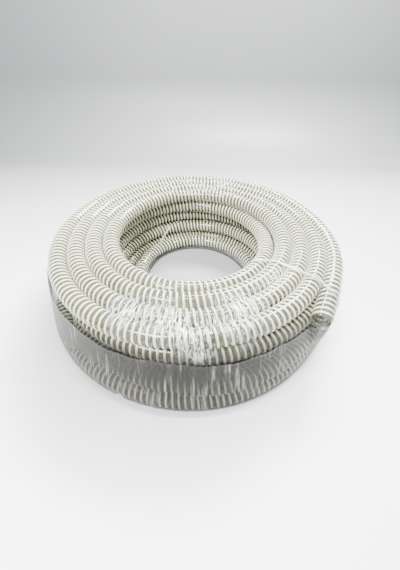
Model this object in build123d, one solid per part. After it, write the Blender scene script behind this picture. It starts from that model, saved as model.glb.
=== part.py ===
"""Flexible vacuum hose with a rigid outside helix, packed as a five-layer coil in stretch film.

Millimetres, +Z up.  The origin is on the floor, under the middle of the coil.
"""
from build123d import *
import os

# ---- the hose ----
hose_outer_d = 36.0          # over the rigid helix
hose_bore_d = 32.0           # 1 1/4 in vacuum bore
wall_t = 0.9                 # soft clear wall, between two turns of the helix
rib_pitch = 11.2             # along the hose, from one turn of the helix to the next
rib_width = 3.8              # along the hose

# ---- the coil, in hose diameters ----
# Each layer, from the floor up: radius to the middle of its innermost and of its outermost turn.
layer_turn_radii = [(4.90, 9.25), (5.60, 9.05), (5.60, 8.30), (5.90, 8.40), (5.10, 8.40)]
top_turns = 4                # ridges that show on the top layer
valley_depth = 0.25          # depth of the groove between two turns that lie side by side
ridge_corner = 0.146         # from a corner turn's crest to the middle of its round corner

# ---- the two cut ends: middle of the tube, in hose diameters from the origin ----
free_end_root = (8.143, -3.633, 4.263)      # it has slid off the top layer and droops a little
free_end_mouth = (6.510, -6.510, 3.850)
hidden_end_root = (-4.30, 1.54, 0.5)
hidden_end_mouth = (-4.30, -1.26, 0.5)
seat_gap = 0.1               # millimetres between a straight end and the coil it lies in
mouth_clearance = 80.0       # the coil is clear of a fitting for this far past a mouth

# ---- the stretch film ----
film_t = 0.6                 # several turns of thin film together
film_gap = 0.4               # between the film and the crests of the hose
film_foot = 3.0              # height of the film's lower edge
girth_film_clearance = 12.0  # between the girth film and the free end above it
through_film_reach = 8.60    # how far out over the top the film reaches, in hose diameters

d = hose_outer_d
outer_r = d / 2
skin_r = hose_bore_d / 2 + wall_t
coil_height = len(layer_turn_radii) * d


def at(radius, height):
    """A point of a section through the coil's axis."""
    return (radius, 0, height)


def ridge(start, crest, end, along):
    """Two round arcs that meet smoothly at a crest."""
    back = tuple(-value for value in along)
    return [TangentArc(crest, start, tangent=back), TangentArc(crest, end, tangent=along)]


def side_ridges(crests, out):
    """Ridges up one side of the coil, one for each layer, from the floor to the top's corner.

    crests holds each layer's crest radius; out is 1 on the outside and -1 in the hole.
    """
    corner = ridge_corner * d
    edges = []
    head = None
    for k, crest in enumerate(crests):
        notch = crest - out * valley_depth * d
        foot = at(notch, k * d)
        if head is not None and head != foot:
            edges.append(Line(head, foot))
        head = at(notch, (k + 1) * d)
        if k + 1 == len(crests):
            head = at(crest - out * corner, coil_height - corner)
        edges += ridge(foot, at(crest, (k + 0.5) * d), head, (0, 0, 1))
    return edges


def top_ridges():
    """Ridges across the top of the coil, one for each turn of the top layer."""
    inner, outer = layer_turn_radii[-1]
    step = (outer - inner) / (top_turns - 1) * d
    half_corner = (0.5 - ridge_corner) * d
    points = [at(outer * d + half_corner, coil_height - ridge_corner * d)]
    for j in range(1, top_turns):
        points.append(at(outer * d - (j - 0.5) * step, coil_height - valley_depth * d))
    points.append(at(inner * d - half_corner, coil_height - ridge_corner * d))
    edges = []
    for j in range(top_turns):
        crest = at(outer * d - j * step, coil_height)
        edges += ridge(points[j], crest, points[j + 1], (-1, 0, 0))
    return edges


def straight_end(root, mouth):
    """Plane across the hose at the root of a cut end, facing its mouth, and the end's length."""
    start = Vector(*root) * d
    along = Vector(*mouth) * d - start
    return Plane(origin=start, z_dir=along), along.length


def coil(ends):
    """Outer shape of the coil, with a seat where each straight end lies in it."""
    outside = [(outer + 0.5) * d for inner, outer in layer_turn_radii]
    inside = [(inner - 0.5) * d for inner, outer in layer_turn_radii]
    notch = valley_depth * d
    base = Line(at(inside[0] + notch, 0), at(outside[0] - notch, 0))
    section = side_ridges(outside, 1) + top_ridges() + side_ridges(inside, -1) + [base]
    body = revolve(Face(Wire(section)), Axis.Z, 360)
    for plane, length in ends:
        body -= extrude(plane * Circle(outer_r + seat_gap), amount=length + mouth_clearance)
    return body


def hose_wall(plane, length):
    """Straight run of the soft clear wall, open at its mouth."""
    return extrude(plane * (Circle(skin_r) - Circle(hose_bore_d / 2)), amount=length)


def hose_helix(plane, length):
    """Rigid rib wound on the soft wall, ending just inside both ends of the run."""
    rib_height = outer_r - skin_r
    margin = rib_width / 2 + rib_height / 2
    path = Helix(pitch=rib_pitch, height=length - 2 * margin, radius=skin_r + rib_height / 2)
    across = Plane(origin=path @ 0, x_dir=(1, 0, 0), z_dir=path % 0)
    rib = sweep(across * Rectangle(rib_height, rib_width), path=path, is_frenet=True)
    return plane.location * Location((0, 0, margin)) * rib


def film_shell(near, far):
    """Film turned round the coil's axis, from the points of its two faces."""
    return revolve(make_face(Polyline(*near, *reversed(far), close=True)), Axis.Z, 360)


def girth_film():
    """Film wound round the outside of the coil, below the free end."""
    crests = [(outer + 0.5) * d + film_gap for inner, outer in layer_turn_radii]
    top = (free_end_mouth[2] - 0.5) * d - girth_film_clearance
    # It is pulled in over the shoulder of the lowest layer and stands straight up from the second.
    near = [at(crests[0], film_foot), at(crests[0], d), at(crests[1], 1.5 * d), at(crests[1], top)]
    far = [at(r + film_t, z) for r, _, z in near]
    return film_shell(near, far)


def through_film():
    """Film wound through the hole: up the hole's wall and out over the top."""
    foot_r = (abs(hidden_end_mouth[0]) - 0.5) * d - film_gap
    rim_r = (layer_turn_radii[-1][0] - 0.5) * d - film_gap
    reach = through_film_reach * d
    roof = coil_height + film_gap
    wall = [at(foot_r, film_foot), at(foot_r, d), at(rim_r, coil_height - outer_r)]
    near = wall + [at(rim_r, roof), at(reach, roof)]
    far = [at(r - film_t, z) for r, _, z in wall]
    far += [at(rim_r - film_t, roof + film_t), at(reach, roof + film_t)]
    return film_shell(near, far)


os.makedirs("parts", exist_ok=True)
free_end = straight_end(free_end_root, free_end_mouth)
hidden_end = straight_end(hidden_end_root, hidden_end_mouth)
nodes = {
    "hose_coil": coil([free_end, hidden_end]),
    "free_end_wall": hose_wall(*free_end),
    "free_end_helix": hose_helix(*free_end),
    "hidden_end_wall": hose_wall(*hidden_end),
    "hidden_end_helix": hose_helix(*hidden_end),
    "girth_film": girth_film(),
    "through_film": through_film(),
}
for name, shape in nodes.items():
    export_step(shape, f"parts/{name}.step")
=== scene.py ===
"""Flexible vacuum hose with a rigid outside helix, packed as a coil in stretch film.

Metres, +Z up, the frame's own axes.  The hose is one line of just under 30 m, wound clockwise seen from
above in five layers; the wall, the rib and the film all follow that line.
"""
import math

import bpy
import numpy as np
from mathutils import Matrix, Vector


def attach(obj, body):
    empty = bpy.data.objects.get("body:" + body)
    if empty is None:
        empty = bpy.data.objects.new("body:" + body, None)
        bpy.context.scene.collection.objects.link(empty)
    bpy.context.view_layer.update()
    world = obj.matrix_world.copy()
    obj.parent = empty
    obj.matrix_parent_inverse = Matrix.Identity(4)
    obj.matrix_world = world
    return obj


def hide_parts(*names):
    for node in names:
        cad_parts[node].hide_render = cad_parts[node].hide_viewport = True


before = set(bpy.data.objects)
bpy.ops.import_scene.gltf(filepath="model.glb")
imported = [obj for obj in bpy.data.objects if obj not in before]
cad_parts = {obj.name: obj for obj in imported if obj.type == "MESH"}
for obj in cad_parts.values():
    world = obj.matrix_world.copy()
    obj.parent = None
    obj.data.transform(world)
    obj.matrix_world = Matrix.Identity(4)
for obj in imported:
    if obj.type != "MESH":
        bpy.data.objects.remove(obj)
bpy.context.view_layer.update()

# ------------------------------------------------------------------------------------------------
# Studio: a pale matt board that curves up into a wall, a large soft light behind on the right, a tube
# straight above the coil, a small window in front on the left, and the camera.
# ------------------------------------------------------------------------------------------------
EYE = Vector((0.0201, -0.4682, 0.4687))
LOOK_DOWN = math.radians(46.055)
ROLL = -0.0153
SENSOR = 36                                # mm
LENS = 14.294                              # mm
BOARD_FRONT = -3.0
BOARD_BACK = 1.1                           # where the board starts to curve up
BOARD_SIDE = 7.0                           # half its width
BOARD_BEND = 0.35                          # radius of the curve
WALL_TOP = 2.5
FRONT_TONE = (0.93, 0.93, 0.935, 1)
BACK_TONE = (0.25, 0.255, 0.26, 1)
SKY_TONE = (0.94, 0.96, 0.97, 1)


def grid_faces(rows, columns, closed=False):
    """Quads of a grid of rows by columns; closed joins the last column to the first."""
    i, j = np.meshgrid(np.arange(rows - 1), np.arange(columns if closed else columns - 1), indexing="ij")
    k = (j + 1) % columns
    corners = [i * columns + j, i * columns + k, (i + 1) * columns + k, (i + 1) * columns + j]
    return np.stack(corners, -1).reshape(-1, 4)


def mesh_piece(name, points, faces, material):
    """A smooth mesh object from arrays of points and quads."""
    mesh = bpy.data.meshes.new(name)
    mesh.vertices.add(len(points))
    mesh.vertices.foreach_set("co", np.asarray(points, np.float32).ravel())
    mesh.loops.add(faces.size)
    mesh.loops.foreach_set("vertex_index", faces.astype(np.int32).ravel())
    mesh.polygons.add(len(faces))
    mesh.polygons.foreach_set("loop_start", np.arange(0, faces.size, 4, dtype=np.int32))
    mesh.polygons.foreach_set("use_smooth", np.full(len(faces), True))
    mesh.update()
    mesh.validate()
    mesh.materials.append(material)
    piece = bpy.data.objects.new(name, mesh)
    bpy.context.scene.collection.objects.link(piece)
    return piece


class Value:
    """A number that varies over a surface, so that its maths can be written as an expression."""

    def __init__(self, finish, socket):
        self.finish = finish
        self.socket = socket

    def _math(self, operation, *values):
        return self.finish.node("ShaderNodeMath", {"operation": operation}, dict(enumerate(values)))

    def __add__(self, other):
        return self._math("ADD", self, other)

    def __radd__(self, other):
        return self._math("ADD", other, self)

    def __sub__(self, other):
        return self._math("SUBTRACT", self, other)

    def __rsub__(self, other):
        return self._math("SUBTRACT", other, self)

    def __mul__(self, other):
        return self._math("MULTIPLY", self, other)

    def __truediv__(self, other):
        return self._math("DIVIDE", self, other)


class Finish:
    """A material under construction: node() adds any node and returns its first output, or the one named."""

    def __init__(self, name):
        self.material = bpy.data.materials.new(name)
        self.material.use_nodes = True
        self.tree = self.material.node_tree
        self.tree.nodes.clear()

    def node(self, kind, settings=None, inputs=None, output=0):
        made = self.tree.nodes.new(kind)
        for key, value in (settings or {}).items():
            if key == "stops":
                ramp = made.color_ramp.elements
                while len(ramp) < len(value):
                    ramp.new(0.5)
                for element, (place, colour) in zip(ramp, value):
                    element.position = place
                    element.color = colour if hasattr(colour, "__len__") else (colour, colour, colour, 1)
            else:
                setattr(made, key, value)
        for key, value in (inputs or {}).items():
            if isinstance(value, Value):
                self.tree.links.new(value.socket, made.inputs[key])
            else:
                made.inputs[key].default_value = value
        return Value(self, made.outputs[output]) if made.outputs else None

    def place(self):
        """Object coordinates, in metres."""
        return self.node("ShaderNodeTexCoord", output="Object")

    def axis(self, place, name):
        """X, Y or Z of a place."""
        return self.node("ShaderNodeSeparateXYZ", inputs={"Vector": place}, output=name)

    def distance(self, place, point):
        return self.node("ShaderNodeVectorMath", {"operation": "DISTANCE"}, {0: place, 1: point}, "Value")

    def noise(self, place, scale, detail=3.0):
        return self.node("ShaderNodeTexNoise", inputs={"Vector": place, "Scale": scale, "Detail": detail})

    def ramp(self, value, *stops):
        """The value looked up between stops, each a position with a grey level or a colour."""
        return self.node("ShaderNodeValToRGB", {"stops": stops}, {0: value})

    def clamp(self, value):
        return self.node("ShaderNodeClamp", inputs={"Value": value})

    def between(self, value, start, end):
        """0 at the start, 1 at the end, and level beyond them."""
        return self.clamp((value - start) / (end - start))

    def ridge(self, value, width):
        """1 where the value is a half, falling to 0 at this width from it."""
        apart = self.node("ShaderNodeMath", {"operation": "ABSOLUTE"}, {0: value - 0.5})
        return self.clamp(1 - apart / width)

    def patch(self, place, patches):
        """1 at the middle of each patch, (middle, radius), falling to 0 at its radius."""
        total = 0.0
        for middle, radius in patches:
            total = self.clamp(1 - self.distance(place, middle) / radius) + total
        return self.clamp(total)

    def mix(self, share, first, second):
        """Colour between two colours."""
        return self.node("ShaderNodeMix", {"data_type": "RGBA"}, {"Factor": share, 6: first, 7: second}, 2)

    def shader(self, **inputs):
        """The plain surface shader, its inputs by name with _ for a space."""
        return self.node("ShaderNodeBsdfPrincipled",
                         inputs={name.replace("_", " "): value for name, value in inputs.items()})

    def surface(self, shader):
        self.node("ShaderNodeOutputMaterial", inputs={"Surface": shader})
        return self.material


def floor_finish():
    """Matt board, almost white in front, light grey at the back, with shade painted darker in the hole and
    the coil's soft shadow painted round it.
    """
    finish = Finish("studio_floor")
    place = finish.place()
    # Painted shade: the floor inside the hole and the coil's soft shadow, strongest in front on the left, are
    # painted darker into its tone.
    painted_hole_shade = finish.patch(place, [((0, 0.03, 0), 0.22)])
    painted_coil_shadow = finish.patch(place, [((-0.08, -0.12, 0), 0.42)])
    shade = painted_hole_shade * 1.2 + painted_coil_shadow * 0.9
    depth = finish.axis(place, "Y") * 0.5 + 0.4 + shade + finish.noise(place, 1.5) * 0.06
    tone = finish.ramp(depth, (0.3, FRONT_TONE), (0.9, BACK_TONE))
    return finish.surface(finish.shader(Base_Color=tone, Roughness=0.5))


def sweep_backdrop():
    """Floor from in front of the camera to behind the object, then a quarter circle up into a wall."""
    turn = np.linspace(0, math.pi / 2, 13)[1:]
    back_wall = BOARD_BACK + BOARD_BEND
    y = np.concatenate([[BOARD_FRONT, BOARD_BACK], BOARD_BACK + BOARD_BEND * np.sin(turn), [back_wall]])
    z = np.concatenate([[0, 0], BOARD_BEND * (1 - np.cos(turn)), [WALL_TOP]])
    x = np.array([-BOARD_SIDE, BOARD_SIDE])
    points = np.stack([np.tile(x, (len(y), 1)), np.repeat(y[:, None], 2, 1), np.repeat(z[:, None], 2, 1)], -1)
    return mesh_piece("backdrop", points.reshape(-1, 3), grid_faces(len(y), 2)[:, ::-1], floor_finish())


def soft_light(name, place, aim, size, watts):
    light = bpy.data.lights.new(name, "AREA")
    light.shape = "RECTANGLE"
    light.size, light.size_y = size
    light.energy = watts
    lamp = bpy.data.objects.new(name, light)
    lamp.location = place
    lamp.rotation_euler = (Vector(aim) - Vector(place)).to_track_quat("-Z", "Y").to_euler()
    bpy.context.scene.collection.objects.link(lamp)


sweep_backdrop()

back = Vector((0, -math.cos(LOOK_DOWN), math.sin(LOOK_DOWN)))
right = Vector((1, 0, 0))
up = back.cross(right)
facing = Matrix((right, up, back)).transposed() @ Matrix.Rotation(-ROLL, 3, "Z")
camera = bpy.data.objects.new("camera", bpy.data.cameras.new("camera"))
camera.data.sensor_width = SENSOR
camera.data.lens = LENS
camera.matrix_world = Matrix.Translation(EYE) @ facing.to_4x4()
bpy.context.scene.collection.objects.link(camera)
bpy.context.scene.camera = camera

soft_light("ceiling", (0.45, 1.45, 1.5), (0, -0.1, 0), (1.2, 0.8), 530)
soft_light("tube", (0, 0.02, 1.55), (0, 0, 0), (1.1, 0.03), 52)
soft_light("window", (-0.6, -0.8, 1.5), (0, 0.1, 0.1), (0.5, 0.5), 85)
world = bpy.data.worlds.new("studio")
world.use_nodes = True
sky = world.node_tree.nodes["Background"]
sky.inputs["Color"].default_value = SKY_TONE
sky.inputs["Strength"].default_value = 0.95
bpy.context.scene.world = world

# ------------------------------------------------------------------------------------------------
# The hose's line.  One length of stiff hose, wound clockwise from the inside of the lowest layer: out
# and up to the second, in and up to the third, out and up to the fourth, in and up to the top, and out.
# ------------------------------------------------------------------------------------------------
HOSE = 0.036                               # over the rib
MIDDLE = np.array([0.0005, 0.0051])        # the winding's own middle, seen from above
POINTS_A_TURN = 24
SMOOTHING = 0.28                           # turns over which a change of radius or layer is spread
SAMPLES = 8001                             # along the winding, while it is smoothed
STATIONS = [                               # turns from the +X side, radius and layer, in hose diameters
    (-14.40, 4.58, 0), (-10.50, 8.55, 0), (-10.00, 9.12, 0), (-9.75, 9.30, 0.04), (-9.62, 9.34, 0.5),
    (-9.50, 9.12, 0.96), (-9.25, 8.98, 1), (-9.00, 9.12, 1), (-8.75, 9.04, 1),
    (-8.50, 7.88, 1), (-7.75, 7.60, 1), (-7.50, 6.86, 1), (-6.75, 6.55, 1), (-6.50, 5.84, 1),
    (-6.25, 5.70, 1), (-6.05, 5.52, 1.5), (-5.85, 5.55, 2),
    (-3.25, 8.35, 2), (-3.03, 8.60, 2.5), (-2.82, 8.39, 3), (-0.25, 5.80, 3),
    (-0.12, 5.30, 3.08), (0.0, 4.92, 3.35), (0.12, 4.95, 3.6), (0.25, 5.10, 3.75), (0.5, 5.36, 3.92),
    (0.75, 5.62, 4), (3.80, 8.67, 4), (3.92, 8.80, 3.95), (4.04, 8.94, 3.80)]
HIDDEN_END = [(-4.314, -1.40, 0), (-4.314, 0, 0), (-4.314, 1.10, 0)]             # straight, low in the hole
FREE_END = [(7.72, -4.50, 3.66), (7.11, -5.57, 3.50), (6.496, -6.652, 3.35)]     # drooping off the top


def winding():
    """Points of the coiled stretch: the stations joined by straight lines, smoothed over a quarter turn."""
    turns, radius, layer = np.array(STATIONS).T
    wide = np.concatenate([[turns[0] - 1], turns, [turns[-1] + 1]])
    fine = np.linspace(turns[0] - 0.5, turns[-1] + 0.5, SAMPLES)
    kernel = np.hanning(int(SMOOTHING / (fine[1] - fine[0])) | 1)
    kernel /= kernel.sum()

    def smoothed(values):
        first = values[0] - (values[1] - values[0]) / (turns[1] - turns[0])
        last = values[-1] + (values[-1] - values[-2]) / (turns[-1] - turns[-2])
        line = np.interp(fine, wide, np.concatenate([[first], values, [last]]))
        return np.convolve(np.pad(line, len(kernel) // 2, mode="edge"), kernel, "valid")

    count = int(round((turns[-1] - turns[0]) * POINTS_A_TURN)) + 1
    at = np.linspace(turns[0], turns[-1], count)
    # A quadratic spline runs inside its control points, so these stand a little outside the turns.
    reach = 1 / (0.75 + 0.25 * math.cos(2 * math.pi / POINTS_A_TURN))
    r = np.interp(at, fine, smoothed(radius)) * reach
    z = np.interp(at, fine, smoothed(layer))
    angle = 2 * math.pi * at
    return np.stack([r * np.cos(angle), -r * np.sin(angle), z], 1)


route = np.concatenate([HIDDEN_END, winding(), FREE_END]) + [0, 0, 0.5]
route = route * HOSE + np.append(MIDDLE, 0)

# ------------------------------------------------------------------------------------------------
# The wall: a thin tube of clear soft plastic, 32 mm bore, wound and welded under the rib.  Both ends
# are bare cuts, with the bore open behind them.
# ------------------------------------------------------------------------------------------------
SKIN_R = 0.0166
BORE_R = 0.0160
LINE_STEPS = 5                             # from one point of the route to the next
MOUTH_DEPTH = 0.06                         # of the bore that is modelled behind each cut
MOUTH_POINTS = 32
HALF_SPAN = 0.006                          # along the hose, either side of a place, for its direction
WALL_TONES = ((0.076, 0.079, 0.047, 1), (0.115, 0.120, 0.075, 1))


def wall_finish(name, thin, thick):
    """Clear plastic gone slightly yellow, glossy, faintly clouded; thin and thick are how much it hides."""
    finish = Finish(name)
    cloud = finish.noise(finish.place(), 35.0, 2.0)
    tone = finish.ramp(cloud, (0.3, WALL_TONES[0]), (0.7, WALL_TONES[1]))
    hides = finish.ramp(cloud, (0.3, thin), (0.7, thick))
    return finish.surface(finish.shader(Base_Color=tone, Roughness=0.07, Alpha=hides, IOR=1.5))


line = bpy.data.curves.new("clear_wall", "CURVE")
line.dimensions = "3D"
spline = line.splines.new("NURBS")
spline.points.add(len(route) - 1)
spline.points.foreach_set("co", np.column_stack([route, np.ones(len(route))]).ravel())
spline.order_u = 3
spline.use_endpoint_u = True
line.resolution_u = LINE_STEPS
hose = bpy.data.objects.new("hose_wall", line)
bpy.context.scene.collection.objects.link(hose)

# The line is traced before it gets its thickness, for the rib, the cuts and the film to follow.
traced = bpy.data.meshes.new_from_object(hose)
centre = np.zeros(len(traced.vertices) * 3, np.float32)
traced.vertices.foreach_get("co", centre)
centre = centre.reshape(-1, 3).astype(float)
bpy.data.meshes.remove(traced)
run = np.concatenate([[0], np.cumsum(np.linalg.norm(np.diff(centre, axis=0), axis=1))])
LENGTH = float(run[-1])

line.bevel_depth = SKIN_R
line.bevel_resolution = 4
line.materials.append(wall_finish("hose_wall", 0.66, 0.78))


def along_hose(distance):
    """Place, direction, outward and upward normals of the hose's line at these distances from its start."""
    def at(where):
        return np.stack([np.interp(where, run, centre[:, k]) for k in range(3)], 1)

    direction = at(distance + HALF_SPAN) - at(distance - HALF_SPAN)
    direction /= np.linalg.norm(direction, axis=1)[:, None]
    outward = np.cross([0, 0, 1], direction)
    outward /= np.linalg.norm(outward, axis=1)[:, None]
    return at(distance), direction, outward, np.cross(direction, outward)


def cut_end(distance, inward):
    """The wall's cut face and the bore behind it: three rings of points round the hose's line."""
    place, direction, outward, upward = along_hose(distance + inward * np.array([0.0, 0.0, MOUTH_DEPTH]))
    radius = np.array([SKIN_R, BORE_R, BORE_R])[:, None, None]
    angle = np.linspace(0, 2 * math.pi, MOUTH_POINTS, endpoint=False)[None, :, None]
    points = place[:, None] + radius * (np.cos(angle) * outward[:, None] + np.sin(angle) * upward[:, None])
    return points.reshape(-1, 3), grid_faces(3, MOUTH_POINTS, closed=True)[:, ::-inward]


bore = wall_finish("hose_bore", 0.15, 0.25)
mouths = [mesh_piece("hose_mouth_in", *cut_end(0.0, 1), bore),
          mesh_piece("hose_mouth_out", *cut_end(LENGTH, -1), bore)]
for piece in mouths:
    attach(piece, "root")
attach(hose, "root")
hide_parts("hose_coil", "free_end_wall", "hidden_end_wall")

# ------------------------------------------------------------------------------------------------
# The rib: rigid cream-white plastic, one helix outside the wall from cut to cut, a turn every 11.2 mm.
# It is made in lengths, and is cut off on the outward side of the free end.
# ------------------------------------------------------------------------------------------------
PITCH = 0.0112
RIB_WIDTH = 0.0038
RIB_SECTION = [(-0.5, -0.25), (-0.46, 0.62), (-0.22, 1.0), (0.22, 1.0), (0.46, 0.62), (0.5, -0.25)]
RIB_STEPS = 16                             # around one turn of the helix
RIB_PIECES = 5
RIB_TONES = ((0.70, 0.695, 0.52, 1), (0.77, 0.765, 0.60, 1))


def rib_finish():
    """Cream-white rigid plastic, satin, each turn a little different in tone."""
    finish = Finish("hose_helix")
    tone = finish.ramp(finish.noise(finish.place(), 60.0, 2.0), (0.3, RIB_TONES[0]), (0.7, RIB_TONES[1]))
    return finish.surface(finish.shader(Base_Color=tone, Roughness=0.32))


def helix_rib(start, end):
    """The rib's section carried along a helix on the hose, closed at both ends.

    The section's points are shares of the rib's width along the hose and of its height above the wall.
    At distance s it stands (s - length) / pitch turns from the outward side towards the top.
    """
    distance = np.arange(start, end, PITCH / RIB_STEPS)
    place, direction, outward, upward = along_hose(distance)
    angle = 2 * math.pi * (distance - LENGTH) / PITCH
    away = np.cos(angle)[:, None] * outward + np.sin(angle)[:, None] * upward
    section = np.array(RIB_SECTION)
    across = section[:, 0] * RIB_WIDTH
    height = SKIN_R + section[:, 1] * (HOSE / 2 - SKIN_R)
    points = place[:, None] + height[None, :, None] * away[:, None]
    points = points + across[None, :, None] * direction[:, None]
    closing = points[[0, -1]].mean(1, keepdims=True).repeat(len(section), 1)
    points = np.concatenate([closing[:1], points, closing[1:]])
    return points.reshape(-1, 3), grid_faces(len(points), len(section), closed=True)


rib = rib_finish()
for k in range(RIB_PIECES):
    first = LENGTH * k / RIB_PIECES if k else RIB_WIDTH / 2
    last = LENGTH * (k + 1) / RIB_PIECES + (PITCH / RIB_STEPS if k + 1 < RIB_PIECES else -RIB_WIDTH / 2)
    piece = mesh_piece(f"hose_helix_{k + 1}", *helix_rib(first, last), rib)
    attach(piece, "root")
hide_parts("hidden_end_helix")
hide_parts("free_end_helix")

# ------------------------------------------------------------------------------------------------
# Stretch film wound through the hole: each wrap goes up the hole's wall, over the top and down the
# outside, and is pulled straight from turn to turn of the hose.  Several thin layers, creased in front.
# ------------------------------------------------------------------------------------------------
FILM_GAP = 0.0012                          # from the rib's crests to the film
FLOOR_EDGE = 0.0015                        # height of the film's lower edges
COLUMNS = 900                              # round the coil
FACES = 181                                # of the hose's section that the film is pulled over
BLUR_COLUMNS = 13                          # over which a step of the hose is drawn out
FRONT = 1.5                                # the coil's front, clockwise from +X in radians
MAP_R = 0.3                                # the film's map is unrolled at this radius
WRAP_ROWS = 100
WRAP_CREASE = 0.0012                       # how deep its creases are
WRAP_WAVES = (83, 127, 149)                # creases round the coil
WRAP_EDGE_SHADOW = 0.008                           # painted contact shadow: the darker strip along its lower edge on the floor
SKIRT = 0.004                              # the film's lower edge lies this far into the hole
# Patches where the film is crumpled: the glints painted white in its creases gather here, and its gloss is
# stronger.
CRUMPLED_GLINTS = [((-0.030, -0.265, 0.18), 0.045), ((0.015, -0.285, 0.17), 0.045), ((0.083, -0.258, 0.18), 0.055),
            ((-0.09, -0.25, 0.17), 0.05), ((0.083, 0.23, 0.18), 0.03), ((-0.06, 0.13, 0.12), 0.03)]
FOLD = math.radians(36)                    # where the last wrap's edge is gathered, clockwise from +X
ARC = 0.172, 0.0022, ((-0.010, 0.191, 0.172), 0.045)      # painted highlight along the taut edge at the back: its height, width and patch
SLANT = (-0.543, -0.371, 0.753)            # the way across the taut edge in the hole, where a highlight is painted
SLANTED = 0.0516, 0.0045, ((-0.0915, 0.134, 0.0685), 0.036)      # how far that way it is, its width and patch
WRAP_TONES = ((0.03, 0.03, 0.025, 1), (1, 1, 0.98, 1))      # clear film, and the white of the glints painted in its creases


def turns_of_hose():
    """Radius and height of every turn of the hose where it crosses each column's direction from the axis.

    Columns are counted clockwise from +X, as the hose is wound; a missing turn is not a number.
    """
    radius = np.hypot(centre[:, 0], centre[:, 1])
    wound = np.unwrap(-np.arctan2(centre[:, 1], centre[:, 0])) / (2 * math.pi)
    wound = np.maximum.accumulate(wound)
    laps = np.arange(math.floor(wound[0]), math.ceil(wound[-1]) + 1)
    at = (np.arange(COLUMNS) / COLUMNS)[:, None] + laps[None]
    r = np.interp(at, wound, radius, left=np.nan, right=np.nan)
    z = np.interp(at, wound, centre[:, 2], left=np.nan, right=np.nan)
    return r, z


def blurred(grid):
    """Each row of a grid, smoothed round the coil."""
    share = np.hanning(BLUR_COLUMNS) / np.hanning(BLUR_COLUMNS).sum()
    return sum(part * np.roll(grid, k - BLUR_COLUMNS // 2, 1) for k, part in enumerate(share))


def pulled_film(first, last, rows, gap, top=None, skirt=None):
    """A film pulled straight round the turns: in each direction from the axis, the hull of the hose's turns.

    first and last are angles of the film's face from outward to upward, so 180 degrees faces into the hole.
    A film that goes down the outside may start at a height, top, given for each column.  One that stands in
    the hole may start on the floor, skirt inwards of the hose.
    Returns radius and height on a grid of rows along the section by columns round the coil.
    """
    r, z = turns_of_hose()
    face = np.radians(np.linspace(first, last, FACES))
    reach = r[:, None] * np.cos(face)[None, :, None] + z[:, None] * np.sin(face)[None, :, None]
    chosen = np.nanargmax(reach, 2)
    take = np.arange(COLUMNS)[:, None]
    hull_r = r[take, chosen] + (HOSE / 2 + gap) * np.cos(face)
    hull_z = z[take, chosen] + (HOSE / 2 + gap) * np.sin(face)
    if skirt is not None:
        hull_r = np.concatenate([hull_r[:, :1] - skirt, hull_r], 1)
        hull_z = np.concatenate([np.full((COLUMNS, 1), FLOOR_EDGE), hull_z], 1)
    steps = np.hypot(np.diff(hull_r), np.diff(hull_z))
    length = np.concatenate([np.zeros((COLUMNS, 1)), np.cumsum(steps, 1)], 1)
    start = np.zeros(COLUMNS)
    if top is not None:
        start = np.array([np.interp(t, h[::-1], l[::-1]) for t, h, l in zip(top, hull_z, length)])
    even = [np.linspace(begin, total, rows) for begin, total in zip(start, length[:, -1])]
    grid_r = np.stack([np.interp(e, l, h) for e, l, h in zip(even, length, hull_r)], 1)
    grid_z = np.stack([np.interp(e, l, h) for e, l, h in zip(even, length, hull_z)], 1)
    return blurred(grid_r), np.maximum(blurred(grid_z), FLOOR_EDGE)


def creases(rows, length, seed, waves, lean):
    """Depth from 0 to 1 of a film's creases: sharp folds of sine waves that wander, strongest in front.

    length is how far the pattern runs down the film, waves the folds round the coil, lean how far they slant.
    """
    rng = np.random.default_rng(seed)
    across = np.linspace(0, length, rows)[:, None]
    turn = np.linspace(0, 2 * math.pi, COLUMNS, endpoint=False)[None]
    depth = np.zeros((rows, COLUMNS))
    for count in waves:
        slow = np.sin(across * rng.uniform(25, 60) + turn * rng.integers(2, 9) + rng.uniform(0, 6))
        quick = np.sin(across * rng.uniform(70, 140) - turn * rng.integers(5, 17) + rng.uniform(0, 6))
        slope = count / MAP_R * rng.uniform(-lean, lean)
        wave = np.sin(turn * count + across * slope + 1.6 * slow + 0.8 * quick)
        depth += (1 - np.abs(wave)) ** 3 / len(waves)
    return depth * (0.25 + 0.75 * np.exp(-((turn - FRONT) / 0.5) ** 2))


def film_piece(name, grid_r, grid_z, depth, amount, material):
    """The film's mesh: a grid of radii and heights, sunk by its creases, with a map in metres."""
    slope_r = np.gradient(grid_r, axis=0)
    slope_z = np.gradient(grid_z, axis=0)
    size = np.hypot(slope_r, slope_z) + 1e-9
    r = grid_r + slope_z / size * depth * amount
    z = np.maximum(grid_z - slope_r / size * depth * amount, FLOOR_EDGE)
    turn = np.linspace(0, 2 * math.pi, COLUMNS, endpoint=False)[None]
    points = np.stack([r * np.cos(turn), -r * np.sin(turn), z], -1).reshape(-1, 3)
    faces = grid_faces(len(grid_r), COLUMNS, closed=True)
    piece = mesh_piece(name, points, faces, material)

    column = faces % COLUMNS
    lap = (column == 0) & (column.max(1, keepdims=True) == COLUMNS - 1)
    u = (column / COLUMNS + lap) * 2 * math.pi * MAP_R
    steps = np.hypot(np.diff(grid_r, axis=0), np.diff(grid_z, axis=0))
    down = np.concatenate([np.zeros((1, COLUMNS)), np.cumsum(steps, 0)])
    laid = np.stack([u.ravel(), down.ravel()[faces.ravel()]], 1)
    piece.data.uv_layers.new(name="film").data.foreach_set("uv", laid.astype(np.float32).ravel())
    return piece


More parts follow.
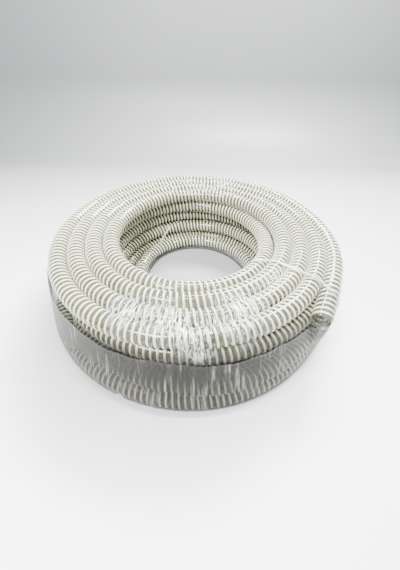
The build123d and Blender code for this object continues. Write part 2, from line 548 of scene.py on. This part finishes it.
def drawn_out(finish, lay, scale, lean, detail):
    """Noise of the film's own map, drawn out by its scale round the coil and down the film, and leaning."""
    turned = finish.node("ShaderNodeMapping",
                         inputs={"Vector": lay, "Scale": (*scale, 1.0), "Rotation": (0, 0, lean)})
    return finish.noise(turned, 1.0, detail)


def painted_highlight_line(finish, place, value, at, width, patch):
    """A painted highlight: a line of light where the value is at, within a patch."""
    near = finish.ramp(finish.patch(place, [patch]), (0.0, 0.0), (0.25, 1.0))
    return finish.ridge(value - at + 0.5, width) * near


def wraps_finish():
    """Clear film: nearly unseen, but with glints painted white in its creases, on the gathered film at the
    free end's root and at two taut edges.

    Its lower edge is painted darker as a contact shadow, and more layers of it go down the outside, where
    shade under the top layer is painted as well.
    """
    finish = Finish("film_wraps")
    lay = finish.node("ShaderNodeUVMap", {"uv_map": "film"})
    place = finish.place()
    x, y, z = (finish.axis(place, name) for name in "XYZ")
    radius = finish.distance(place, (0, 0, 0.18))
    streaks = drawn_out(finish, lay, (130.0, 16.0), 0.12, 2.0)
    crumple = drawn_out(finish, lay, (150.0, 90.0), 0.6, 3.0)
    scattered_glints = finish.ramp(finish.noise(place, 11.0, 2.0), (0.52, 0.0), (0.7, 1.0))
    crumpled_glints = finish.patch(place, CRUMPLED_GLINTS)

    # Painted highlights: white glint lines in the creases, a few scattered and most in the crumpled patches.
    lines = finish.ridge(streaks, 0.030) * (scattered_glints * 0.3 + crumpled_glints * 1.6)
    lines = lines + finish.ridge(crumple, 0.024) * crumpled_glints * 1.6
    # Painted highlight: a white line of glint along the gathered film at the free end's root.
    fold_glint = finish.ridge(x * math.sin(FOLD) + y * math.cos(FOLD) + 0.5, 0.006)
    fold_glint = fold_glint * finish.between(x, 0.100, 0.125) * finish.between(x, 0.275, 0.250) * (streaks * 2.4 - 0.35)
    # Painted highlights along two taut edges: an arc at the back and a slanted line in the hole.
    slanted = finish.node("ShaderNodeVectorMath", {"operation": "DOT_PRODUCT"}, {0: place, 1: SLANT}, "Value")
    edges = painted_highlight_line(finish, place, z, *ARC) + painted_highlight_line(finish, place, slanted, *SLANTED)
    # All the white here is painted highlight: glints in the creases, on the gathered film and on the taut
    # edges.
    white = finish.clamp(lines + fold_glint + edges)

    # Painted contact shadow: along its lower edge on the floor the film is made darker and less clear.
    hem_and_shadow = finish.between(finish.axis(lay, "Y"), WRAP_EDGE_SHADOW, WRAP_EDGE_SHADOW / 2)
    # Darker on the outside below the top layer: partly more layers of film, partly painted shade beneath the
    # top layer's overhang.
    outside = finish.between(radius, 0.272, 0.312)
    outside = outside * finish.between(z, 0.159, 0.144) * finish.between(z, 0.083, 0.100)
    hides = finish.clamp(0.02 + white * 0.95 + hem_and_shadow * 0.75 + outside * 0.5)
    film = finish.shader(Base_Color=finish.mix(white, *WRAP_TONES), Roughness=0.4, Alpha=hides,
                         Specular_IOR_Level=0.1)
    gloss = finish.shader(Base_Color=(1, 1, 1, 1), Metallic=1.0, Roughness=0.08)
    mirrored = finish.node("ShaderNodeFresnel", inputs={"IOR": 1.5}) * (scattered_glints * 0.15 + crumpled_glints) * 0.8
    return finish.surface(finish.node("ShaderNodeMixShader", inputs={0: mirrored, 1: film, 2: gloss}))


around = np.linspace(0, 2 * math.pi, COLUMNS, endpoint=False)
pleats = np.exp(-((around - FOLD) * 30) ** 2) * (0.6 + 0.4 * np.cos((around - FOLD) * 90))
sunk = creases(WRAP_ROWS, 0.75, 7, WRAP_WAVES, 0.5) - pleats[None] * 1.6
pulled = pulled_film(200, -60, WRAP_ROWS, FILM_GAP, skirt=SKIRT)
through = film_piece("film_wraps", *pulled, sunk, WRAP_CREASE, wraps_finish())
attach(through, "root")
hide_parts("through_film")

# ------------------------------------------------------------------------------------------------
# Stretch film wound round the outside, under and over the wraps: many layers, grey and well creased,
# from the floor to just under the free end.
# ------------------------------------------------------------------------------------------------
BAND_GAP = FILM_GAP + 0.0022
BAND_TOP = 0.122                           # mean height of its upper edge
BAND_ROWS = 60
BAND_CREASE = 0.0016
BAND_WAVES = (71, 113, 149, 43)
BAND_HEM = 0.006
BAND_TONES = ((0.010, 0.009, 0.008, 1), (0.24, 0.23, 0.22, 1))      # many layers, and their pale streaks


def band_finish():
    """Many layers of film: grey-brown, cloudy, thinner to the right, with pale streaks and a darker hem, and
    darker towards the top, partly from thicker film and partly from shade painted under the top layer.
    """
    finish = Finish("film_band")
    lay = finish.node("ShaderNodeUVMap", {"uv_map": "film"})
    place = finish.place()
    streaks = drawn_out(finish, lay, (210.0, 9.0), 0.05, 2.0)
    clouds = finish.noise(lay, 28.0, 3.0)
    to_right = finish.ramp(finish.axis(place, "X") + 0.5, (0.60, 1.0), (0.78, 0.5))
    # Darker towards the top: partly thicker film standing off the hose, partly painted shade in the gap under
    # the top layer.
    thicker_and_shaded_to_top = finish.ramp(finish.axis(place, "Z") * 8, (0.4, 0.52), (0.8, 0.80))
    layers = to_right * (thicker_and_shaded_to_top + clouds * 0.3 - 0.12)
    pale = finish.ramp(streaks, (0.55, 0.0), (0.68, 1.0)) * finish.ramp(clouds, (0.45, 0.25), (0.6, 1.0))
    hem_and_shadow = finish.between(finish.axis(lay, "Y"), BAND_HEM, BAND_HEM / 2)
    hides = finish.clamp(layers + pale * 0.08 + hem_and_shadow * 0.25)
    return finish.surface(finish.shader(Base_Color=finish.mix(pale, *BAND_TONES), Roughness=0.35, Alpha=hides,
                                        Specular_IOR_Level=0.2))


band_top = BAND_TOP + 0.020 * np.cos(around - 2.5)
band_top = band_top + 0.0025 * np.sin(around * 11 + 2) + 0.0012 * np.sin(around * 37)
band_top = band_top + 0.0045 * np.exp(-((around - 0.85) / 0.2) ** 2)      # up to the free end's underside
sunk = creases(BAND_ROWS, 0.2, 3, BAND_WAVES, 0.6)
pulled = pulled_film(22, -75, BAND_ROWS, BAND_GAP, band_top)
girth = film_piece("film_band", *pulled, sunk, BAND_CREASE, band_finish())
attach(girth, "root")
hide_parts("girth_film")
